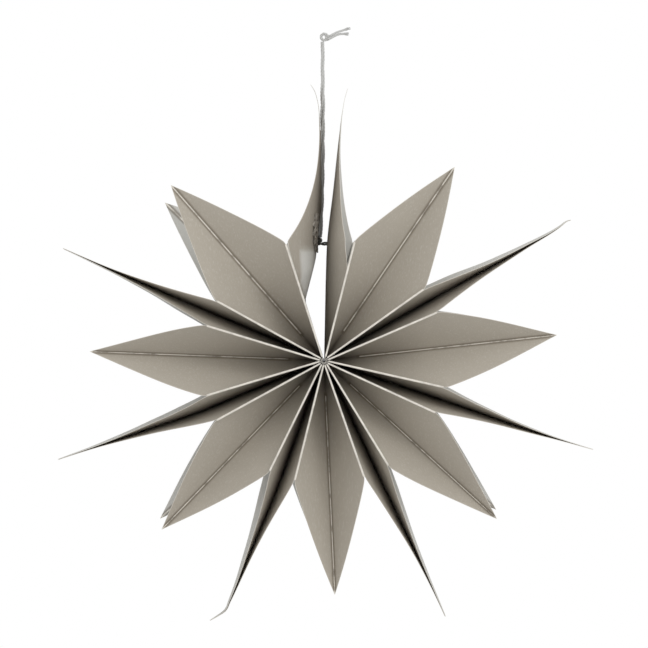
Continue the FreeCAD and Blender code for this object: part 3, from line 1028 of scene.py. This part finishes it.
def top_eye():
    """The small eye at the top of the cord, bent from one strand."""
    middle, half = box_halves("hanging_loop")
    radius = half[2] - STRAND / 2
    turn = np.linspace(-2.2, 4.0, 60)
    line = middle + np.stack([np.cos(turn) * radius, 0.0006 * np.sin(turn), np.sin(turn) * radius], axis=1)
    made = tubes_object("top_eye", strand_tubes(line, STRAND * 1.5, 0.006), 6)
    return finish_piece(made, CORD_LOOK, "cord", "hanging_loop", "hanging_loop")


def top_knot():
    """The knot that closes the eye."""
    made = tubes_object("top_knot_strands", knot_tubes("top_knot", STRAND * 1.15), 6)
    return finish_piece(made, CORD_LOOK, "cord", "hanging_loop", "top_knot")


def cord_tail(node):
    """A loose end whose plies open into a fray."""
    line = evenly(route_line(TAIL_ROUTES[node]), 0.0004)
    share = np.linspace(0, 1, len(line))
    open_out = np.clip((share - FRAY_START) / (1 - FRAY_START), 0, 1) ** 1.5
    tubes = []
    for index in range(FRAY_PLIES):
        radius = STRAND * (0.3 + 0.6 * open_out * (0.5 + 0.5 * math.sin(index * 2.2 + 1)))
        ply = STRAND * (0.27 - 0.17 * open_out)
        tubes.append((wound(line, radius, turning(line, 0.011, index * 2 * math.pi / FRAY_PLIES)), ply))
    made = tubes_object(f"{node}_fray", tubes, 5)
    return finish_piece(made, CORD_LOOK, "cord", "hanging_loop", node)


def tie_cord():
    """The short cord through both end panels, darkened with painted shade, its two runs laid round each
    other.
    """
    middle, half = box_halves("tie_cord")
    across = np.linspace(-1, 1, 60)
    sag = -TIE_SAG * (1 - across**2)
    line = middle + np.stack([across * (half[0] - STRAND / 2), np.zeros_like(across), sag], axis=1)
    tubes = []
    for index in range(2):
        around = wound(line, TIE_SPREAD, turning(line, 0.013, index * math.pi + 1.2))
        tubes += strand_tubes(around, STRAND, 0.005, index)
    made = tubes_object("tie_strands", tubes, 6)
    return finish_piece(made, TIE_LOOK, "tie", "left_end_leaf", "tie_cord")


def tie_knot():
    """The knot of the tie, set a little above and to the right of its CAD place."""
    shift = np.array([TIE_KNOT_SHIFT, 0.0, TIE_KNOT_SHIFT])
    tubes = [(line + shift, radii) for line, radii in knot_tubes("tie_knot", STRAND * 1.2)]
    made = tubes_object("tie_knot_strands", tubes, 6)
    return finish_piece(made, TIE_LOOK, "tie", "left_end_leaf", "tie_knot")


def hole_patch():
    """Crinkled tape round the left end panel's hole, stuck down from behind the panel's centre line
    forward along its flare."""
    points = node_points("hole_patch")
    reach = from_axis(points)
    start, end = reach.min(), reach.max()
    half = float(np.abs(points[:, 1]).max())
    seam = SEAMS[BAGS]
    rows = np.linspace(start + PATCH_START, end + PATCH_END, 50)
    columns = np.linspace(0, 1, 41)
    out = np.repeat(rows[:, None], len(columns), axis=1)
    width = half + PATCH_FORWARD + PATCH_WANDER * np.sin((out - start) * 80)
    width = width + 0.0012 * np.sin(out * 900)
    depth = -half + columns[None, :] * width
    slope = ridge_slope(BAGS, "b", "front")
    stand = pulled_flare(out, depth, slope, BAGS) + curl_at(BAGS, out)
    crinkle = 0.00035 * np.sin(out * 700 + depth * 900) + 0.00025 * np.sin(out * 1900 - depth * 700)
    shift = stand + PANEL_OFFSET - PATCH_SET_BACK + crinkle
    grid = CENTRE + out[..., None] * outward(seam) + shift[..., None] * outward(seam + 90)
    grid = grid + depth[..., None] * FORWARD
    far = np.ones_like(out)
    values = {"edge": far, "crease": far, "shade": np.zeros_like(out)}
    made = sheet_object("patch_tape", grid, -outward(seam + 90), values)
    return finish_piece(made, PATCH_LOOK, "patch", "left_end_leaf", "hole_patch")


# ---- the star ----------------------------------------------------------------------------------

cord, cord_line = hanging_cord()
cord_pieces = [top_eye(), top_knot(), tie_cord(), tie_knot()]
cord_pieces += [cord_tail(node) for node in TAIL_ROUTES]
hole_patch()
for bag_number in range(1, BAGS + 1):
    for side_name in HANDS:
        side_panel(bag_number, side_name)
        ridge_bead(bag_number, side_name)
        for face_name in FACES:
            gusset_half(bag_number, side_name, face_name)
for leaf_number in range(1, BAGS):
    glue_seam(leaf_number)


# ---- room and light ----------------------------------------------------------------------------


def make_floor():
    """A plain pale floor well below the hanging star."""
    half = 1.1
    level = -0.62
    corners = [(-half, -half, level), (half, -half, level), (half, half, level), (-half, half, level)]
    floor = mesh_object("floor", corners, [(0, 1, 2, 3)], smooth=False)
    nodes = Nodes("floor")
    grain = nodes.noise(30, 3)
    base = nodes.mix(nodes.ramp(grain, 0.3, 0.7), (0.78, 0.78, 0.78), (0.82, 0.82, 0.82))
    nodes.link(base, nodes.shader.inputs["Base Color"])
    nodes.shader.inputs["Roughness"].default_value = 0.9
    floor.data.materials.append(nodes.material)


def area_light(name, place, size, power, target):
    """A soft square lamp at a place, turned towards a target."""
    data = bpy.data.lights.new(name, "AREA")
    data.shape = "SQUARE"
    data.size = size
    data.energy = power
    light = bpy.data.objects.new(name, data)
    light.location = place
    towards = np.array(target) - np.array(place)
    flat = math.hypot(towards[0], towards[1])
    heading = math.atan2(towards[1], towards[0]) - math.pi / 2
    light.rotation_euler = (math.atan2(flat, -towards[2]), 0, heading)
    bpy.context.scene.collection.objects.link(light)


def make_light():
    """A white room, and one soft lamp before the star, above it and to its right."""
    scene = bpy.context.scene
    world = bpy.data.worlds.new("room")
    world.use_nodes = True
    background = world.node_tree.nodes["Background"]
    background.inputs["Color"].default_value = (1, 1, 1, 1)
    background.inputs["Strength"].default_value = 1.0
    scene.world = world
    scene.view_settings.view_transform = "Standard"
    area_light("key", (1.3, -1.8, 1.0), size=1.0, power=12.0, target=(0.0, 0.0, -0.26))


make_floor()
make_light()

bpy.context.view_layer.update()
